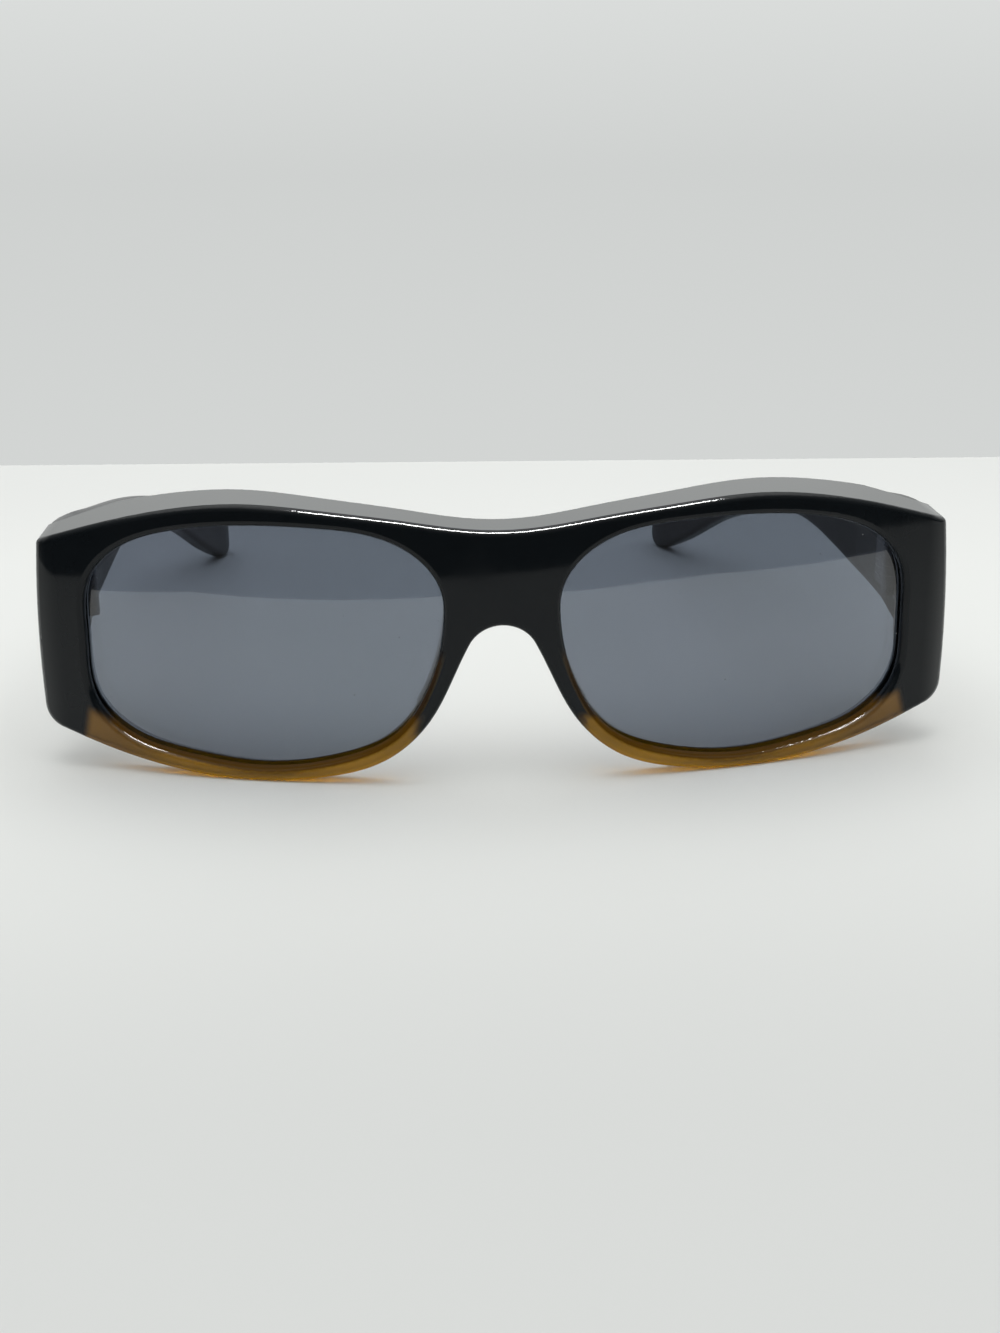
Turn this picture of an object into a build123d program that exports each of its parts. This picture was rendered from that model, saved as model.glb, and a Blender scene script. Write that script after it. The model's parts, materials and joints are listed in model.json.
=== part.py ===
from build123d import *
from math import asin, cos, radians, sin, sqrt
import os

# Wrap-around sunglasses that are worn over a pair of spectacles. Sizes are in millimetres.
# The front faces -Y, the temples run towards +Y, +Z is up and the floor is Z = 0.
# Left and right are the wearer's, who looks along -Y, so the left side is +X.
# Everything is built with the middle of the front's face on Y = 0, then moved at the end.

# Outline of the front
LENS_WIDTH = 54.8
LENS_HEIGHT = 38.4
BRIDGE_WIDTH = 17.4
END_WIDTH = 7.9
RIM_BELOW = 2.0
BROW_ABOVE = 3.2
BRIDGE_HEIGHT = 14.6
NOSE_RADIUS = 5.6
NOSE_ANGLE = 62.0
BROW_CORNER = 1.2
CHEEK_CORNER = 4.0

# Depths and edges of the front
WRAP_DEPTH = 14.7
FRONT_DEPTH = 23.0
PLAN_CORNER = 4.0
FRONT_EDGE = 0.9
REAR_EDGE = 0.9
OPENING_EDGE = 0.9
RIM_DEPTH = 3.8
BROW_DEPTH = 9.0
NOSE_DEPTH = 4.0
SHELF_END = 15.4
POCKET_MARGIN = 1.5
POCKET_INSIDE = 1.0
POCKET_START = 13.0
LUG_WALL = 6.0
CHEEK_SWEEP = 6.5

# Lenses
LENS_RADIUS = 132.0
LENS_THICKNESS = 1.3
LENS_INSET = 0.6
LENS_SEAT = 0.8
LENS_FIT = 0.05

# Temples
TEMPLE_LENGTH = 118.0
TEMPLE_BELOW = 5.4
TEMPLE_INSET = 14.8
ROOT_HEIGHT = 22.5
ARM_HEIGHT = 6.0
TIP_HEIGHT = 9.2
ROOT_THICKNESS = 4.9
ARM_THICKNESS = 3.4
ROOT_SLOPE = 2.2
ROOT_LEAN = 0.9
BUTT_GAP = 0.15
PAD_LENGTH = 19.0
PAD_MARGIN = 1.6
PAD_RISE = 6.3
PAD_FALL = 3.2
PAD_CORNER = 2.0
PAD_EDGE = 0.4
REST_TURN = 6.0

# Hinges
HINGE_HEIGHT = 8.0
HINGE_DROP = 1.0
HINGE_OFFSET = 1.0
BARREL_RADIUS = 1.35
BARREL_SPACE = 0.15
KNUCKLES = 5
KNUCKLE_GAP = 0.06
LEAF_THICKNESS = 0.9
LEAF_GAP = 0.25
LEAF_CORNER = 0.8
FRONT_LEAF = 3.0
TEMPLE_LEAF = 6.4
STUD_RADIUS = 0.6
STUD_LENGTH = 2.0
HINGE_FIT = 0.03

# Hinge screws
SCREW_RADIUS = 0.7
HEAD_RADIUS = 1.1
HEAD_HEIGHT = 0.6
HEAD_EDGE = 0.15
SLOT_WIDTH = 0.3
SLOT_DEPTH = 0.3

# How far a cutting tool runs past what it cuts
OVERRUN = 2.0

# Outline points of one half of the front, as shares of the half width and the height
BROW_SHARES = (
    (0.0, 0.913), (0.206, 0.9495), (0.372, 0.9817), (0.541, 1.0),
    (0.718, 0.965), (0.845, 0.912), (0.985, 0.839),
)
BOTTOM_SHARES = (
    (0.9965, 0.16), (0.803, 0.058), (0.641, 0.0093), (0.525, 0.0),
    (0.386, 0.019), (0.251, 0.0868), (0.158, 0.2245),
)
SIDE_SHARE = 0.44

# Outline points of a lens, as shares of its half width and half height
LENS_SHARES = (
    (-1.0, 0.32), (-0.93, 0.645), (-0.70, 0.89), (-0.35, 0.984),
    (0.0, 1.0), (0.45, 0.94), (0.79, 0.76), (0.967, 0.47),
    (1.0, 0.0), (0.965, -0.53), (0.80, -0.78), (0.45, -0.935),
    (0.03, -1.0), (-0.40, -0.91), (-0.72, -0.695), (-0.912, -0.28),
)

# Rear edge of the cheek, as shares of its sweep forwards and its height
CHEEK_SHARES = ((0.0, 1.0), (0.338, 0.621), (0.738, 0.229), (1.0, -0.13))

# Stations along a temple, each a row of shares: length, inset, height of the spine,
# part of the section above the spine, root height, tip height and root thickness
TEMPLE_SHARES = (
    (0.0, 0.0, 1.0, 0.0, 1.0, 0.0, 1.0),
    (0.067, 0.03, 0.979, 0.0, 0.81, 0.0, 1.0),
    (0.169, 0.085, 0.914, 0.0, 0.53, 0.0, 0.8),
    (0.279, 0.165, 0.846, 0.0, 0.245, 0.0, 0.45),
    (0.414, 0.265, 0.763, 0.0, 0.0, 0.0, 0.1),
    (0.584, 0.415, 0.567, 0.5, 0.0, 0.0, 0.0),
    (0.736, 0.585, 0.328, 1.0, 0.0, 0.28, 0.0),
    (0.855, 0.755, 0.143, 1.0, 0.0, 1.0, 0.0),
    (0.940, 0.895, 0.026, 1.0, 0.0, 1.10, 0.0),
)

# Rounded end of a temple: shares of length, inset, the tip's height below and above, thickness
END_SHARES = (
    (0.975, 0.956, 0.008, 1.022, 0.94),
    (0.992, 0.986, 0.122, 0.894, 0.765),
    (1.0, 1.0, 0.328, 0.676, 0.47),
)
ROUNDING_SHARE = 0.32

HALF_WIDTH = BRIDGE_WIDTH / 2 + LENS_WIDTH + END_WIDTH
FRONT_HEIGHT = RIM_BELOW + LENS_HEIGHT + BROW_ABOVE
FACE_RADIUS = (HALF_WIDTH**2 + WRAP_DEPTH**2) / (2 * WRAP_DEPTH)
LENS_X = (BRIDGE_WIDTH + LENS_WIDTH) / 2
LENS_Z = RIM_BELOW + LENS_HEIGHT / 2
LUG_X = HALF_WIDTH - LUG_WALL
TEMPLE_TOP = FRONT_HEIGHT - TEMPLE_BELOW
CHEEK_HEIGHT = TEMPLE_TOP - ROOT_HEIGHT
AXIS_X = LUG_X - HINGE_OFFSET
LEAF_X = AXIS_X + BARREL_RADIUS
HINGE_LOW = TEMPLE_TOP - (ROOT_HEIGHT + HINGE_HEIGHT) / 2 - HINGE_DROP
HINGE_TOP = HINGE_LOW + HINGE_HEIGHT
KNUCKLE_HEIGHT = (HINGE_HEIGHT - (KNUCKLES - 1) * KNUCKLE_GAP) / KNUCKLES
ROOT_Y = FRONT_DEPTH + BUTT_GAP
TOTAL_DEPTH = ROOT_Y + TEMPLE_LENGTH


def block(x0, x1, y0, y1, z0, z1):
    middle = Pos((x0 + x1) / 2, (y0 + y1) / 2, (z0 + z1) / 2)
    return middle * Box(x1 - x0, y1 - y0, z1 - z0)


def prism(face, start, end):
    # A face drawn in X and Z, made solid from Y = start to Y = end
    return extrude(Plane.XZ.offset(-start) * face, amount=start - end)


def both(shape):
    return shape + mirror(shape, Plane.YZ)


def face_depth(x):
    return FACE_RADIUS - sqrt(FACE_RADIUS**2 - x**2)


def front_outline():
    def place(points):
        return [(HALF_WIDTH * x, FRONT_HEIGHT * z) for x, z in points]

    brow = place(BROW_SHARES)
    bottom = place(BOTTOM_SHARES)
    angle = radians(NOSE_ANGLE)
    crown = brow[0][1] - BRIDGE_HEIGHT
    centre = crown - NOSE_RADIUS
    flank = (NOSE_RADIUS * sin(angle), centre + NOSE_RADIUS * cos(angle))
    shoulder = (NOSE_RADIUS * sin(angle / 2), centre + NOSE_RADIUS * cos(angle / 2))
    lines = [
        Spline(brow, tangents=[(1, 0), (0.95, -0.3)]),
        ThreePointArc(brow[-1], (HALF_WIDTH, FRONT_HEIGHT * SIDE_SHARE), bottom[0]),
        Spline(bottom + [flank], tangents=[(-1, -0.35), (-cos(angle), sin(angle))]),
        ThreePointArc(flank, shoulder, (0, crown)),
        Line((0, crown), brow[0]),
    ]
    half = make_face(Curve() + lines)
    half = fillet(half.vertices().sort_by_distance(brow[-1])[0], BROW_CORNER)
    half = fillet(half.vertices().sort_by_distance(bottom[0])[0], CHEEK_CORNER)
    return both(half)


def front_plan():
    side = HALF_WIDTH + OVERRUN
    edge = face_depth(side)
    lines = [
        ThreePointArc((-side, edge), (0, 0), (side, edge)),
        Polyline((side, edge), (side, FRONT_DEPTH), (-side, FRONT_DEPTH), (-side, edge)),
    ]
    face = make_face(Curve() + lines)
    corners = face.vertices().sort_by(Axis.Y)[:2]
    return fillet(corners, PLAN_CORNER)


def lens_outline(grow):
    across = LENS_WIDTH / 2 + grow
    up = LENS_HEIGHT / 2 + grow
    points = [(LENS_X + across * x, LENS_Z + up * z) for x, z in LENS_SHARES]
    return make_face(Spline(points, periodic=True))


def lens_shell(fit):
    # The space between two spheres, square to the front's face at the middle of the lens
    angle = asin(LENS_X / FACE_RADIUS)
    reach = LENS_INSET + LENS_RADIUS
    x = LENS_X - reach * sin(angle)
    y = face_depth(LENS_X) + reach * cos(angle)
    outer = Sphere(LENS_RADIUS + fit)
    inner = Sphere(LENS_RADIUS - LENS_THICKNESS - fit)
    return Pos(x, y, LENS_Z) * (outer - inner)


def lens():
    blank = prism(lens_outline(LENS_SEAT), 0, FRONT_DEPTH)
    return blank & lens_shell(0)


def lens_groove():
    room = prism(lens_outline(LENS_SEAT + LENS_FIT), 0, FRONT_DEPTH)
    return room & lens_shell(LENS_FIT)


def pocket():
    # The hollow behind the rim, which leaves room for the spectacles underneath
    middle = LENS_X + (POCKET_MARGIN + POCKET_INSIDE) / 2
    across = (LENS_WIDTH + POCKET_MARGIN - POCKET_INSIDE) / 2
    up = LENS_HEIGHT / 2 - POCKET_INSIDE
    points = [(middle + across * x, LENS_Z + up * z) for x, z in LENS_SHARES]
    upper = prism(make_face(Spline(points, periodic=True)), 0, FRONT_DEPTH + OVERRUN)
    lower = block(POCKET_START, LUG_X, 0, FRONT_DEPTH + OVERRUN, -OVERRUN, LENS_Z)
    behind = Cylinder(FACE_RADIUS - RIM_DEPTH, FRONT_HEIGHT + 2 * OVERRUN)
    return (upper + lower) & Pos(0, FACE_RADIUS, FRONT_HEIGHT / 2) * behind


def cheek_trim():
    # Seen from the side, the cheek sweeps forwards from the hinge to the lower rim
    edge = [
        (FRONT_DEPTH - CHEEK_SWEEP * y, CHEEK_HEIGHT * z)
        for y, z in CHEEK_SHARES
    ]
    back = FRONT_DEPTH + OVERRUN
    lines = [
        Spline(edge, tangents=[(-0.45, -1), (-0.2, -1)]),
        Polyline(edge[-1], (back, edge[-1][1]), (back, edge[0][1]), edge[0]),
    ]
    profile = make_face(Curve() + lines)
    return extrude(Plane.YZ * profile, amount=HALF_WIDTH + OVERRUN, both=True)


def front_frame():
    body = prism(front_outline(), 0, FRONT_DEPTH + OVERRUN)
    body &= Pos(0, 0, -OVERRUN) * extrude(front_plan(), amount=FRONT_HEIGHT + 2 * OVERRUN)
    rim_edges = [
        e for e in body.edges()
        if e.geom_type != GeomType.LINE and e.bounding_box().max.Y < FRONT_DEPTH - FRONT_EDGE
    ]
    body = fillet(rim_edges, FRONT_EDGE)

    # The back of the bridge and of the brow shelf is one cone, deeper at the brow
    reach = HALF_WIDTH - SHELF_END
    sweep = FRONT_DEPTH - BROW_DEPTH
    radius = (reach**2 + sweep**2) / (2 * sweep)
    slope = (BROW_DEPTH - NOSE_DEPTH) / FRONT_HEIGHT
    low_radius = radius + slope * (FRONT_HEIGHT + OVERRUN)
    top_radius = radius - slope * OVERRUN
    cone = Cone(low_radius, top_radius, FRONT_HEIGHT + 2 * OVERRUN)
    body -= Pos(0, radius + BROW_DEPTH, FRONT_HEIGHT / 2) * cone
    back = body.faces().filter_by(GeomType.CONE)[0]
    body = fillet(back.edges().filter_by(GeomType.BSPLINE), REAR_EDGE)

    opening = prism(lens_outline(0), -OVERRUN, FRONT_DEPTH + OVERRUN)
    body -= both(pocket())
    body -= both(opening)
    body -= cheek_trim()
    face = body.faces().filter_by(GeomType.CYLINDER).sort_by(SortBy.AREA)[-1]
    body = fillet([e for wire in face.inner_wires() for e in wire.edges()], OPENING_EDGE)
    body -= both(lens_groove())
    body -= both(hinge_room(-1, FRONT_LEAF))
    return body


def temple_section(y, outer, thickness, low, high, slope=0, lean=0):
    corners = [
        (outer - thickness, low), (outer, low),
        (outer - lean, high - slope), (outer - thickness, high),
    ]
    face = make_face(Polyline(*corners, close=True))
    rounding = ROUNDING_SHARE * min(thickness, high - low)
    return Plane.XZ.offset(-y) * fillet(face.vertices(), rounding)


def temple_arm():
    sections = []
    for length, inset, spine, above, root, tip, thick in TEMPLE_SHARES:
        height = ARM_HEIGHT + (ROOT_HEIGHT - ARM_HEIGHT) * root + (TIP_HEIGHT - ARM_HEIGHT) * tip
        thickness = ARM_THICKNESS + (ROOT_THICKNESS - ARM_THICKNESS) * thick
        high = TEMPLE_TOP * spine + height * above
        y = ROOT_Y + TEMPLE_LENGTH * length
        x = HALF_WIDTH - TEMPLE_INSET * inset
        top = (ROOT_SLOPE * root, ROOT_LEAN * root)
        sections.append(temple_section(y, x, thickness, high - height, high, *top))
    for length, inset, low, high, thick in END_SHARES:
        thickness = ARM_THICKNESS * thick
        y = ROOT_Y + TEMPLE_LENGTH * length
        x = HALF_WIDTH - TEMPLE_INSET * inset - (ARM_THICKNESS - thickness) / 2
        sections.append(temple_section(y, x, thickness, TIP_HEIGHT * low, TIP_HEIGHT * high))
    return loft(sections)


def hinge_pad():
    # A flat raised pad inside the root, level with the inner wall of the lug
    top = TEMPLE_TOP - PAD_MARGIN
    low = CHEEK_HEIGHT + PAD_MARGIN
    end = ROOT_Y + PAD_LENGTH
    points = ((ROOT_Y, low), (end, low + PAD_RISE), (end, top - PAD_FALL), (ROOT_Y, top))
    face = make_face(Polyline(*points, close=True))
    face = fillet(face.vertices().sort_by(Axis.X)[-2:], PAD_CORNER)
    pad = extrude(Plane.YZ.offset(LUG_X) * face, amount=ROOT_THICKNESS / 2)
    rear = pad.faces().sort_by(Axis.X)[0].edges().filter_by_position(Axis.Y, ROOT_Y + PAD_EDGE, end)
    return fillet(rear, PAD_EDGE)


def leaf_plate(side, near, length, grow, depth):
    # A plate against the lug or the root: side is -1 at the front and 1 at the temple
    size = (length + grow, HINGE_HEIGHT + 2 * grow)
    middle = FRONT_DEPTH + side * (near + size[0] / 2)
    face = Pos(middle, HINGE_LOW + HINGE_HEIGHT / 2) * Rectangle(*size)
    far = face.vertices().sort_by(Axis.X)[-2:] if side > 0 else face.vertices().sort_by(Axis.X)[:2]
    face = fillet(far, LEAF_CORNER + grow)
    return extrude(Plane.YZ.offset(LEAF_X) * face, amount=-depth)


def studs(side, length, grow):
    y = FRONT_DEPTH + side * (BARREL_RADIUS + LEAF_GAP + length / 2)
    stud = Cylinder(STUD_RADIUS + grow, STUD_LENGTH + grow, align=(Align.CENTER, Align.CENTER, Align.MIN))
    heights = (HINGE_LOW + HINGE_HEIGHT / 4, HINGE_TOP - HINGE_HEIGHT / 4)
    return [Pos(LEAF_X, y, z) * Rot(0, 90, 0) * stud for z in heights]


def hinge_room(side, length):
    # What a hinge needs cut from the plastic: leaf recess, stud holes and barrel space
    near = BARREL_RADIUS + LEAF_GAP
    room = leaf_plate(side, 0, near + length, HINGE_FIT, LEAF_THICKNESS + BARREL_RADIUS)
    low = HINGE_LOW - BARREL_SPACE
    high = HINGE_TOP + HEAD_HEIGHT + BARREL_SPACE
    barrel = Cylinder(BARREL_RADIUS + BARREL_SPACE, high - low)
    room += Pos(AXIS_X, FRONT_DEPTH, (low + high) / 2) * barrel
    for hole in studs(side, length, HINGE_FIT):
        room += hole
    return room


def hinge(side, length, first):
    near = BARREL_RADIUS + LEAF_GAP
    body = leaf_plate(side, near, length, 0, LEAF_THICKNESS)
    arm = Pos(LEAF_X - LEAF_THICKNESS / 2, FRONT_DEPTH + side * near / 2) * Rectangle(LEAF_THICKNESS, near)
    ear = Pos(AXIS_X, FRONT_DEPTH) * Circle(BARREL_RADIUS) + arm
    for number in range(first, KNUCKLES, 2):
        z = HINGE_LOW + number * (KNUCKLE_HEIGHT + KNUCKLE_GAP)
        body += Pos(0, 0, z) * extrude(ear, amount=KNUCKLE_HEIGHT)
    for stud in studs(side, length, 0):
        body += stud
    bore = Cylinder(SCREW_RADIUS + HINGE_FIT, HINGE_HEIGHT + 2 * OVERRUN)
    return body - Pos(AXIS_X, FRONT_DEPTH, HINGE_LOW + HINGE_HEIGHT / 2) * bore


def hinge_screw():
    base = (Align.CENTER, Align.CENTER, Align.MIN)
    head = Cylinder(HEAD_RADIUS, HEAD_HEIGHT, align=base)
    head = fillet(head.edges().sort_by(Axis.Z)[-1], HEAD_EDGE)
    slot = block(-HEAD_RADIUS, HEAD_RADIUS, -SLOT_WIDTH / 2, SLOT_WIDTH / 2, HEAD_HEIGHT - SLOT_DEPTH, HEAD_HEIGHT)
    shank = Cylinder(SCREW_RADIUS, HINGE_HEIGHT, align=(Align.CENTER, Align.CENTER, Align.MAX))
    return Pos(AXIS_X, FRONT_DEPTH, HINGE_TOP) * (head - slot + shank)


def temple():
    return temple_arm() + hinge_pad() - hinge_room(1, TEMPLE_LEAF)


front_hinge = hinge(-1, FRONT_LEAF, 0)
temple_hinge = hinge(1, TEMPLE_LEAF, 1)
arm = temple()
glass = lens()
screw = hinge_screw()

# At rest the left temple stands a little closed and the right one fully open
turn = Pos(AXIS_X, FRONT_DEPTH, 0) * Rot(0, 0, REST_TURN) * Pos(-AXIS_X, -FRONT_DEPTH, 0)
pieces = {
    "front_frame": front_frame(),
    "lens_left": glass,
    "lens_right": mirror(glass, Plane.YZ),
    "front_hinge_left": front_hinge,
    "front_hinge_right": mirror(front_hinge, Plane.YZ),
    "hinge_screw_left": screw,
    "hinge_screw_right": mirror(screw, Plane.YZ),
    "temple_left": turn * arm,
    "temple_right": mirror(arm, Plane.YZ),
    "temple_hinge_left": turn * temple_hinge,
    "temple_hinge_right": mirror(temple_hinge, Plane.YZ),
}

# The origin is on the floor below the middle of the whole
os.makedirs("parts", exist_ok=True)
for name, piece in pieces.items():
    export_step(Pos(0, -TOTAL_DEPTH / 2, 0) * piece, "parts/" + name + ".step")
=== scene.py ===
import json
import math

import bpy
from mathutils import Matrix, Vector


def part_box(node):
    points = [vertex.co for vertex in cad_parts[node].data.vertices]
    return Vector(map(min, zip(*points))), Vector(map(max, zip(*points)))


# Looks for a pair of fit-over sunglasses that stand open on a pale table.
# Metres, in the row frame: the lenses face -Y, the temples run to +Y, the table is Z = 0.
# Colours are linear red, green, blue and alpha.

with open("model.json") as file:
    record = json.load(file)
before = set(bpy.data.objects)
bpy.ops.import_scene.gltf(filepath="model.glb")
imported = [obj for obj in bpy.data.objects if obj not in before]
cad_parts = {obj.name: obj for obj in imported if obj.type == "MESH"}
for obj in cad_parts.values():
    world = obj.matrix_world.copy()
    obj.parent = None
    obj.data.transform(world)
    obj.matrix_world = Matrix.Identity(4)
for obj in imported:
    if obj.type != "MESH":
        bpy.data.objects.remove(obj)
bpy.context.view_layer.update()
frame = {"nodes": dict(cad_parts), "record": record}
nodes = frame["nodes"]

MM = 0.001

# Camera, fitted to the photograph. The dip below the horizon and the roll are in radians
CAMERA_PLACE = (-13.82 * MM, -325.27 * MM, 106.25 * MM)
CAMERA_TURN = math.radians(-3.0)
CAMERA_DIP = 0.32955
CAMERA_ROLL = -0.01022
NEAREST_SEEN = 10 * MM
SENSOR = 36.0
FOCAL_PIXELS = 1800
IMAGE_WIDTH = 1000

# Corners of the table top, from the front left one round to the back left one. The front edge is what
# the lenses mirror, and is shaped to match the photograph
TABLE_CORNERS = (
    (-1.100, 0.000), (-0.240, -0.060), (-0.190, -0.150), (-0.160, -0.206), (-0.046, -0.239),
    (0.030, -0.257), (0.090, -0.277), (0.150, -0.277), (0.256, -0.200), (0.340, -0.080),
    (1.100, 0.000), (1.100, 0.0925), (-1.100, 0.2255),
)

# Table paint: two tones that mix in clouds, and a painted shade that darkens the strips near the camera
# and far from it, standing in for light that falls off there
TABLE_TONES = ((0.785, 0.785, 0.770, 1), (0.805, 0.805, 0.792, 1))
TABLE_PAINTED_SHADE = (0.685, 0.685, 0.678, 1)
PAINTED_SHADE_NEAR_START = -70 * MM
PAINTED_SHADE_NEAR_FULL = -170 * MM
PAINTED_SHADE_FAR_START = 0.0
PAINTED_SHADE_FAR_FULL = 150 * MM
PAINTED_SHADE_FAR_SHARE = 0.5

# Brightness of the room by direction. A place is the share of the way from straight down to straight up
BACK_LEVELS = (
    (0.0, 0.62), (0.40, 0.665), (0.47, 0.64), (0.53, 0.75), (0.60, 1.15), (0.66, 1.6), (0.72, 1.15),
    (0.78, 0.45), (0.86, 0.50), (0.93, 1.50), (1.0, 1.70),
)
FRONT_LEVELS = (
    (0.0, 0.05), (0.45, 0.08), (0.55, 0.05), (0.70, 0.20), (0.86, 0.45), (0.93, 1.50), (1.0, 1.70),
)
ROOM_TINT = (0.975, 1.0, 0.985)

# The room's front and back blend between these shares of a unit direction that points backwards
ROOM_SEAM = (-0.25, 0.45)

# Lamps: place, point that it faces, size and power
PANEL = ((0.0, 0.1, 0.4), (0.0, 0.1, 0.0), (0.7, 0.5), 0.6)
CEILING = ((0.09, -0.25, 1.2), (0.09, -0.05, 0.0), (0.58, 0.17), 60.0)

# Noise textures: features per metre and levels of detail
TABLE_CLOUDS = (6.0, 3.0)
TINT_CLOUDS = (30.0, 1.0)
BORDER_DRIFT = (40.0, 1.0)
FINGER_SMEARS = (60.0, 3.0)
MOULD_RIPPLE = (120.0, 2.0)
AMBER_CLOUDS = (160.0, 2.0)
BLACK_CLOUDS = (300.0, 2.0)
FINE_HAZE = (900.0, 2.0)
DUST = (1500.0, 1.0)
STEEL_GRAIN = (2000.0, 3.0)

# A noise's middle, the values between which most of it lies, those that fade into a smear, and those
# that fade into a speck of dust
NOISE_MIDDLE = 0.5
NOISE_SPAN = (0.3, 0.7)
SMEAR_SPAN = (0.50, 0.78)
DUST_SPAN = (0.80, 0.84)

# Refractive indices, chosen for the strength of the reflections
LENS_IOR = 1.75
BLACK_IOR = 1.31
AMBER_IOR = 1.4

# Roughness of each plastic, and how much a finger smear adds to it
BLACK_WEAR = (0.05, 0.08)
AMBER_WEAR = (0.36, 0.08)
TEMPLE_WEAR = (0.28, 0.12)
LENS_WEAR = (0.02, 0.03)
HAZE_ROUGHNESS = 0.02

# Height at which the amber of the lower rims starts and is full. It falls with the distance from
# the middle of the front, and rises again past AMBER_LIFT_START
AMBER_TOP = 12.9 * MM
AMBER_FULL = 11.0 * MM
AMBER_SLOPE = 0.06
AMBER_LIFT_START = 61 * MM
AMBER_LIFT = 0.6

# Where the amber ends towards the side and the nose, the lean of those two borders and the height at
# which they stand there, their softness, and how far the amber's borders wander
AMBER_SIDE = 65.6 * MM
AMBER_NOSE = 12.6 * MM
AMBER_SIDE_SLOPE = 0.3
AMBER_SIDE_MIDDLE = 7 * MM
AMBER_BLEND = 1.8 * MM
DRIFT_WIDTH = 3.0 * MM

# A faint strip of amber up the nose side of each lens opening, whose edge lies at a distance from the
# middle of the front of start + slope * height + bend * height squared
NOSE_CURVE = (21.25 * MM, -0.9215, 15.64)
STRIP_START = -0.45 * MM
STRIP_FULL = -0.1 * MM
STRIP_TOP = 22 * MM
STRIP_TOP_BLEND = 3 * MM
STRIP_SIDE = 19 * MM
STRIP_SIDE_BLEND = 2 * MM
STRIP_SHARE = 0.35

# The amber is brown towards the sides, and painted a lighter gold at the foot of the rims: a painted light
# that lifts the shade where the rims rest on the table
PAINTED_LIGHT_START = 7 * MM
PAINTED_LIGHT_FULL = 2 * MM
BROWN_START = 46 * MM
BROWN_FULL = 62 * MM
WARM_TONES = ((0.28, 0.140, 0.003, 1), (0.24, 0.117, 0.003, 1))
PAINTED_LIGHT_GOLD = (0.44, 0.215, 0.005, 1)
BROWN = (0.21, 0.100, 0.010, 1)
# Painted shade: the dark brown of the edge that faces the lens opening
EDGE_PAINTED_SHADE = (0.100, 0.044, 0.001, 1)

# How far the amber's surface turns towards the lens opening, which sets its painted shade, and down, as a
# part of a unit normal, how much light it lets through, and its clear top coat
PAINTED_SHADE_INWARD_SPAN = (0.25, 0.65)
UNDER_SPAN = (-0.25, -0.6)
THROUGH_SHARE = 0.9
UNDER_SHARE = 0.47
AMBER_COAT = 0.3
AMBER_COAT_ROUGHNESS = 0.035

# The shading of the front's face is very slightly crowned from top to bottom and rounded at its ends
CROWN_RADIUS = 320 * MM
CROWN_MIDDLE = 18 * MM
SIDE_START = 67.5 * MM
SIDE_RADIUS = 8 * MM
RIPPLE_HEIGHT = 0.006 * MM

# Black plastics and lens tint, each a pair of tones that mix in clouds
FRONT_TONES = ((0.004, 0.006, 0.008, 1), (0.006, 0.008, 0.010, 1))
TEMPLE_TONES = ((0.003, 0.003, 0.006, 1), (0.006, 0.006, 0.010, 1))
TEMPLE_RIPPLE_HEIGHT = 0.02 * MM
TEMPLE_RIPPLE_STRENGTH = 0.5
LENS_TONES = ((0.372, 0.405, 0.450, 1), (0.388, 0.415, 0.470, 1))
WHITE = (1, 1, 1, 1)
DUST_GREY = (0.5, 0.5, 0.5, 1)
DUST_SHARE = 0.5

# Steel, with its grain drawn out along the leaf or the screw
STEEL_TONES = ((0.12, 0.12, 0.13, 1), (0.22, 0.22, 0.23, 1))
STEEL_ROUGHNESS = (0.22, 0.42)
GRAIN_HEIGHT = 0.01 * MM
GRAIN_STRENGTH = 0.6
LEAF_STRETCH = (1.0, 0.06, 1.0)
SCREW_STRETCH = (1.0, 1.0, 0.06)


# Small tools for shader nodes

class Nodes:
    """The nodes of one material or world, made and linked in short lines."""

    def __init__(self, owner, output="OutputMaterial"):
        owner.use_nodes = True
        self.owner = owner
        self.tree = owner.node_tree
        self.tree.nodes.clear()
        self.output = self.add(output)

    def add(self, kind, inputs=None, **settings):
        node = self.tree.nodes.new("ShaderNode" + kind)
        for key, value in settings.items():
            setattr(node, key, value)
        for key, value in (inputs or {}).items():
            self.set(node, key, value)
        return node

    def set(self, node, key, value):
        if isinstance(value, bpy.types.NodeSocket):
            self.tree.links.new(value, node.inputs[key])
        else:
            node.inputs[key].default_value = value

    def maths(self, operation, *values):
        return self.add("Math", dict(enumerate(values)), operation=operation).outputs[0]

    def product(self, *values):
        result = values[0]
        for value in values[1:]:
            result = self.maths("MULTIPLY", result, value)
        return result

    def ramp(self, value, stops):
        node = self.add("ValToRGB", {"Fac": value})
        while len(node.color_ramp.elements) < len(stops):
            node.color_ramp.elements.new(1.0)
        for element, (place, colour) in zip(node.color_ramp.elements, stops):
            element.position = place
            element.color = colour
        return node.outputs["Color"]

    def spread(self, value, low, high, out_low=0.0, out_high=1.0, kind="SMOOTHSTEP"):
        inputs = {0: value, 1: low, 2: high, 3: out_low, 4: out_high}
        return self.add("MapRange", inputs, interpolation_type=kind).outputs[0]

    def blend(self, factor, one, two):
        node = self.add("Mix", {0: factor, 6: one, 7: two}, data_type="RGBA")
        return node.outputs[2]

    def place(self):
        return self.add("TexCoord").outputs["Object"]

    def noise(self, scale, detail, where=None):
        inputs = {"Vector": where or self.place(), "Scale": scale, "Detail": detail}
        return self.add("TexNoise", inputs).outputs["Fac"]

    def bump(self, height, distance=1.0, strength=1.0):
        return self.add("Bump", {"Height": height, "Distance": distance, "Strength": strength}).outputs[0]

    def finish(self, shader):
        self.set(self.output, "Surface", shader)
        return self.owner


def new_material(name):
    return Nodes(bpy.data.materials.new(name))


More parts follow.
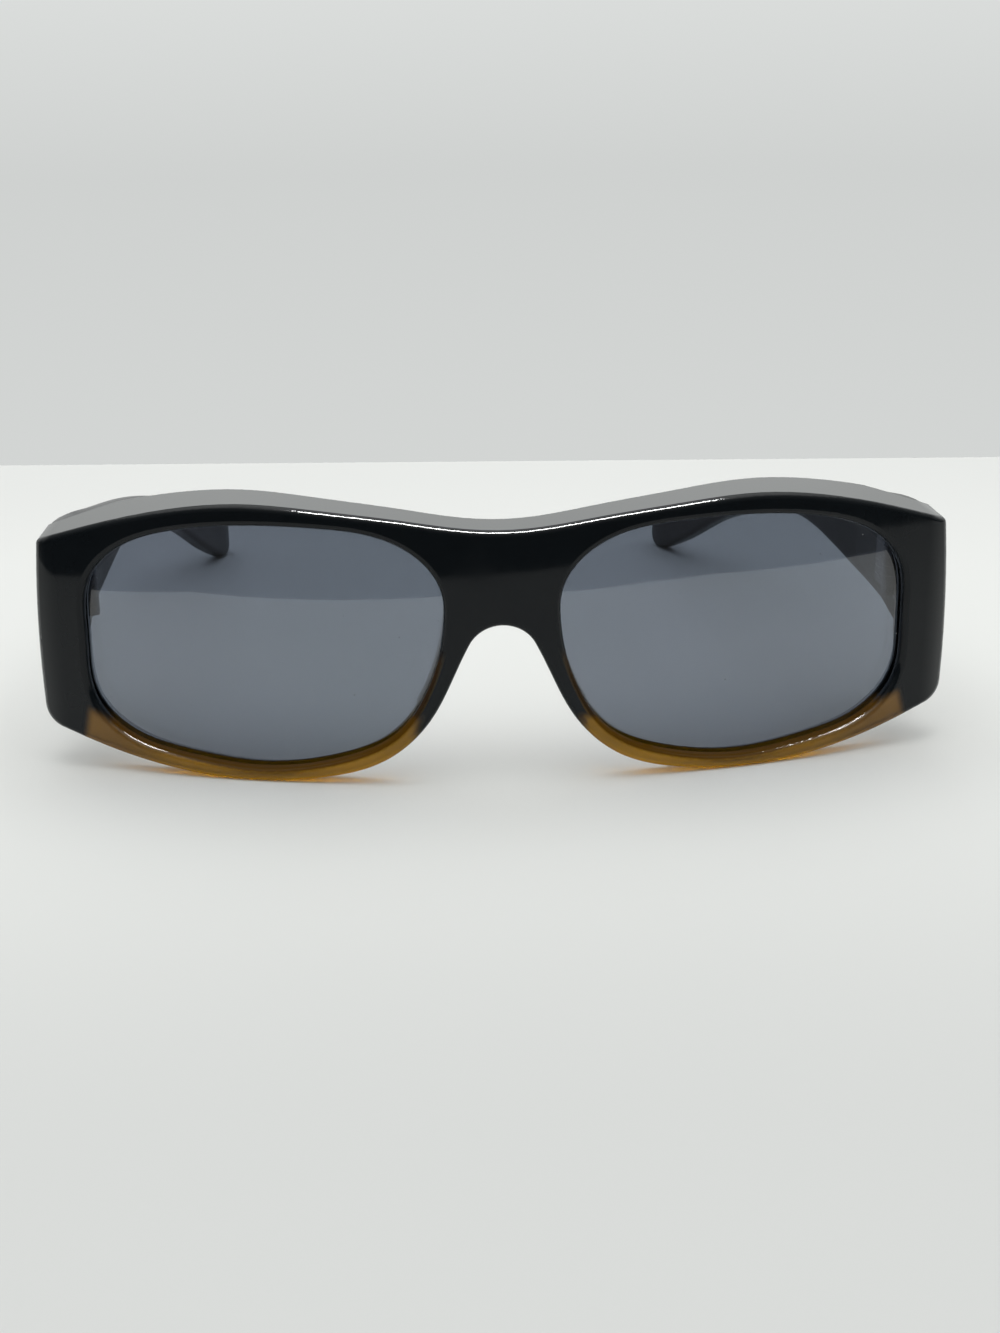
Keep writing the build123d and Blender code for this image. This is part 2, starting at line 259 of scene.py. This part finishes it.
def wear(n, base, spots):
    """Roughness of a polished plastic: its own, a fine haze and a few finger smears."""
    smear = n.spread(n.noise(*FINGER_SMEARS), *SMEAR_SPAN, 0.0, spots)
    haze = n.spread(n.noise(*FINE_HAZE), *NOISE_SPAN, 0.0, HAZE_ROUGHNESS, "LINEAR")
    return n.maths("ADD", n.maths("ADD", smear, haze), base)


# Front

def rim_amber(n, level, across):
    """1 on the amber of the lower rims and 0 on the black above, with borders that wander a little."""
    drift = n.product(n.maths("SUBTRACT", n.noise(*BORDER_DRIFT), NOISE_MIDDLE), DRIFT_WIDTH)
    past = n.maths("MAXIMUM", n.maths("SUBTRACT", across, AMBER_LIFT_START), 0.0)
    lift = n.product(past, -AMBER_LIFT)
    sloped = n.maths("MULTIPLY_ADD", across, AMBER_SLOPE, level)
    height = n.maths("ADD", sloped, n.maths("ADD", drift, lift))
    lean = n.product(n.maths("SUBTRACT", level, AMBER_SIDE_MIDDLE), AMBER_SIDE_SLOPE)
    side = n.maths("ADD", across, n.maths("ADD", drift, lean))
    low = n.spread(height, AMBER_TOP, AMBER_FULL)
    before_side = n.spread(side, AMBER_SIDE, AMBER_SIDE - AMBER_BLEND)
    past_nose = n.spread(side, AMBER_NOSE, AMBER_NOSE + AMBER_BLEND)
    return n.product(low, before_side, past_nose)


def nose_strip(n, level, across):
    """The faint strip of amber up the nose side of each lens opening."""
    start, slope, bend = NOSE_CURVE
    curve = n.maths("MULTIPLY_ADD", level, n.maths("MULTIPLY_ADD", level, bend, slope), start)
    edge = n.spread(n.maths("SUBTRACT", across, curve), STRIP_START, STRIP_FULL)
    upper = n.spread(level, STRIP_TOP, STRIP_TOP - STRIP_TOP_BLEND)
    near = n.spread(across, STRIP_SIDE, STRIP_SIDE - STRIP_SIDE_BLEND)
    return n.product(edge, upper, near, STRIP_SHARE)


def face_flow(n, level, across):
    """Shading normals of the front's face: a crown, rounded ends and a faint ripple from the mould."""
    rise = n.maths("SUBTRACT", level, CROWN_MIDDLE)
    crown = n.maths("DIVIDE", n.product(rise, rise), -2 * CROWN_RADIUS)
    past = n.maths("MAXIMUM", n.maths("SUBTRACT", across, SIDE_START), 0.0)
    turn = n.maths("DIVIDE", n.product(past, past), -2 * SIDE_RADIUS)
    ripple = n.product(n.noise(*MOULD_RIPPLE), RIPPLE_HEIGHT)
    return n.bump(n.maths("ADD", n.maths("ADD", crown, turn), ripple))


def amber_plastic(n, split, level, across, flow):
    """See-through amber, with painted light that makes the foot of the rims a lighter gold. The edge that
    faces the lens gets painted shade, darker and letting less light through, and the underside lets less
    light through.
    """
    warm = n.blend(n.noise(*AMBER_CLOUDS), *WARM_TONES)
    # Painted light: a lighter gold at the foot of the rims lifts the shade where they rest on the table
    warm_and_painted_light = n.blend(n.spread(level, PAINTED_LIGHT_START, PAINTED_LIGHT_FULL), warm, PAINTED_LIGHT_GOLD)
    brown = n.blend(n.spread(across, BROWN_START, BROWN_FULL), warm_and_painted_light, BROWN)

    lens_low, lens_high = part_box("lens_left")
    middle_across = (lens_low[0] + lens_high[0]) / 2
    middle_level = (lens_low[2] + lens_high[2]) / 2
    normal = n.add("SeparateXYZ", {"Vector": n.add("TexCoord").outputs["Normal"]}).outputs
    reach = n.product(n.maths("SUBTRACT", middle_across, across), n.maths("SIGN", split["X"]))
    climb = n.maths("SUBTRACT", middle_level, level)
    apart = n.maths("SQRT", n.maths("ADD", n.product(reach, reach), n.product(climb, climb)))
    towards = n.maths("ADD", n.product(normal["X"], reach), n.product(normal["Z"], climb))
    # Painted shade on the edge that faces the lens: darker brown and less see-through
    inward_painted_shade = n.spread(n.maths("DIVIDE", towards, apart), *PAINTED_SHADE_INWARD_SPAN)
    under = n.spread(normal["Z"], *UNDER_SPAN, 0.0, UNDER_SHARE)
    through = n.product(n.maths("SUBTRACT", 1.0, inward_painted_shade), n.maths("SUBTRACT", THROUGH_SHARE, under))

    return n.add("BsdfPrincipled", {
        "Base Color": n.blend(inward_painted_shade, brown, EDGE_PAINTED_SHADE),
        "Roughness": wear(n, *AMBER_WEAR), "IOR": AMBER_IOR, "Normal": flow,
        "Transmission Weight": through, "Specular IOR Level": 0.0,
        "Coat Weight": AMBER_COAT, "Coat Roughness": AMBER_COAT_ROUGHNESS,
        "Coat IOR": AMBER_IOR, "Coat Normal": flow,
    })


def front_plastic():
    """Gloss plastic, black above and see-through amber along the lower rims."""
    n = new_material("front_plastic")
    split = n.add("SeparateXYZ", {"Vector": n.place()}).outputs
    level = split["Z"]
    across = n.maths("ABSOLUTE", split["X"])
    flow = face_flow(n, level, across)
    black = n.add("BsdfPrincipled", {
        "Base Color": n.blend(n.noise(*BLACK_CLOUDS), *FRONT_TONES),
        "Roughness": wear(n, *BLACK_WEAR), "IOR": BLACK_IOR, "Normal": flow,
    })
    clear = amber_plastic(n, split, level, across, flow)
    amber = n.maths("MAXIMUM", rim_amber(n, level, across), nose_strip(n, level, across))
    mixed = n.add("MixShader", {0: amber, 1: black.outputs[0], 2: clear.outputs[0]})
    return n.finish(mixed.outputs[0])


# Temples, lenses, hinges and screws

def temple_plastic():
    """Black plastic with a softer gloss than the front's."""
    n = new_material("temple_plastic")
    black = n.add("BsdfPrincipled", {
        "Base Color": n.blend(n.noise(*BLACK_CLOUDS), *TEMPLE_TONES),
        "Roughness": wear(n, *TEMPLE_WEAR), "IOR": BLACK_IOR,
        "Normal": n.bump(n.noise(*MOULD_RIPPLE), TEMPLE_RIPPLE_HEIGHT, TEMPLE_RIPPLE_STRENGTH),
    })
    return n.finish(black.outputs[0])


def lens_plastic():
    """Grey smoke tint: each of the two polished skins lets four tenths of the light through."""
    n = new_material("lens_plastic")
    tint = n.blend(n.noise(*TINT_CLOUDS), *LENS_TONES)
    through = n.add("BsdfTransparent", {"Color": tint})
    shine = n.add("BsdfGlossy", {"Color": WHITE, "Roughness": wear(n, *LENS_WEAR)})

    # The Fresnel node turns the index over on the inside, and this turns it back: nothing bends light here
    inside = n.add("NewGeometry").outputs["Backfacing"]
    turned = n.maths("POWER", LENS_IOR, n.maths("MULTIPLY_ADD", inside, -2.0, 1.0))
    mirrored = n.add("Fresnel", {"IOR": turned})
    skin = n.add("MixShader", {0: mirrored.outputs[0], 1: through.outputs[0], 2: shine.outputs[0]})

    dust = n.spread(n.noise(*DUST), *DUST_SPAN, 0.0, DUST_SHARE)
    speck = n.add("BsdfDiffuse", {"Color": DUST_GREY})
    dusty = n.add("MixShader", {0: dust, 1: skin.outputs[0], 2: speck.outputs[0]})
    return n.finish(dusty.outputs[0])


def steel(name, stretch):
    """Satin metal with fine marks along one direction."""
    n = new_material(name)
    lines = n.add("Mapping", {"Vector": n.place(), "Scale": stretch})
    grain = n.noise(*STEEL_GRAIN, lines.outputs[0])
    metal = n.add("BsdfPrincipled", {
        "Base Color": n.blend(grain, *STEEL_TONES),
        "Metallic": 1.0, "Roughness": n.spread(grain, *NOISE_SPAN, *STEEL_ROUGHNESS, "LINEAR"),
        "Normal": n.bump(grain, GRAIN_HEIGHT, GRAIN_STRENGTH),
    })
    return n.finish(metal.outputs[0])


def dress():
    """Gives each CAD node the material of its slot in the record."""
    finishes = {
        "front_plastic": front_plastic(),
        "temple_plastic": temple_plastic(),
        "lens_plastic": lens_plastic(),
        "hinge_steel": steel("hinge_steel", LEAF_STRETCH),
        "screw_steel": steel("screw_steel", SCREW_STRETCH),
    }
    for part in frame["record"]["subparts"]:
        for slot in nodes[part["node"]].material_slots:
            slot.material = finishes[part["material_slot"]]


# Table, room, lamps and camera

def table_paint_and_painted_shade():
    """A pale matt paint with slight clouds of tone, and painted shade that makes it a little darker near the
    camera and far from it.
    """
    n = new_material("table_paint_and_painted_shade")
    even = n.blend(n.noise(*TABLE_CLOUDS), *TABLE_TONES)
    along = n.add("SeparateXYZ", {"Vector": n.place()}).outputs["Y"]
    # Painted shade: darker near the camera and far from it, in place of light that falls off there
    near = n.spread(along, PAINTED_SHADE_NEAR_START, PAINTED_SHADE_NEAR_FULL)
    far = n.spread(along, PAINTED_SHADE_FAR_START, PAINTED_SHADE_FAR_FULL, 0.0, PAINTED_SHADE_FAR_SHARE)
    tone = n.blend(n.maths("ADD", near, far), even, TABLE_PAINTED_SHADE)
    return n.finish(n.add("BsdfDiffuse", {"Color": tone}).outputs[0])


def table():
    mesh = bpy.data.meshes.new("table")
    mesh.from_pydata([(x, y, 0) for x, y in TABLE_CORNERS], [], [tuple(range(len(TABLE_CORNERS)))])
    mesh.materials.append(table_paint_and_painted_shade())
    thing = bpy.data.objects.new("table", mesh)
    bpy.context.scene.collection.objects.link(thing)


def room():
    """A pale wall behind, a soft bright ceiling above it and a dark room in front."""

    def tinted(levels):
        return [(place, (*(level * tint for tint in ROOM_TINT), 1)) for place, level in levels]

    world = bpy.data.worlds.new("room")
    n = Nodes(world, "OutputWorld")
    split = n.add("SeparateXYZ", {0: n.add("TexCoord").outputs["Generated"]}).outputs
    rise = n.spread(split["Z"], -1.0, 1.0, kind="LINEAR")
    behind = n.ramp(rise, tinted(BACK_LEVELS))
    ahead = n.ramp(rise, tinted(FRONT_LEVELS))
    backwards = n.spread(split["Y"], *ROOM_SEAM, kind="LINEAR")
    sky = n.add("Background", {"Color": n.blend(backwards, ahead, behind)})
    bpy.context.scene.world = n.finish(sky.outputs[0])


def lamp(name, place, aim, size, power):
    """A rectangular lamp that faces a point."""
    data = bpy.data.lights.new(name, "AREA")
    data.shape = "RECTANGLE"
    data.size, data.size_y = size
    data.energy = power
    thing = bpy.data.objects.new(name, data)
    bpy.context.scene.collection.objects.link(thing)
    thing.location = place
    thing.rotation_mode = "QUATERNION"
    thing.rotation_quaternion = (Vector(aim) - Vector(place)).to_track_quat("-Z", "Y")
    thing.visible_transmission = False
    return thing


def lights():
    """A weak panel above the temples, and a strip that only makes the white highlights."""
    lamp("panel", *PANEL)
    glint = lamp("ceiling", *CEILING)
    glint.visible_diffuse = False


def camera():
    data = bpy.data.cameras.new("camera")
    data.sensor_fit = "HORIZONTAL"
    data.sensor_width = SENSOR
    data.lens = SENSOR * FOCAL_PIXELS / IMAGE_WIDTH
    data.clip_start = NEAREST_SEEN
    thing = bpy.data.objects.new("camera", data)
    bpy.context.scene.collection.objects.link(thing)
    turn = Matrix.Rotation(CAMERA_TURN, 4, "Z")
    dip = Matrix.Rotation(math.pi / 2 - CAMERA_DIP, 4, "X")
    roll = Matrix.Rotation(CAMERA_ROLL, 4, "Z")
    thing.matrix_world = Matrix.Translation(CAMERA_PLACE) @ turn @ dip @ roll
    bpy.context.scene.camera = thing


dress()
table()
room()
lights()
camera()
bpy.context.scene.view_settings.view_transform = "Standard"
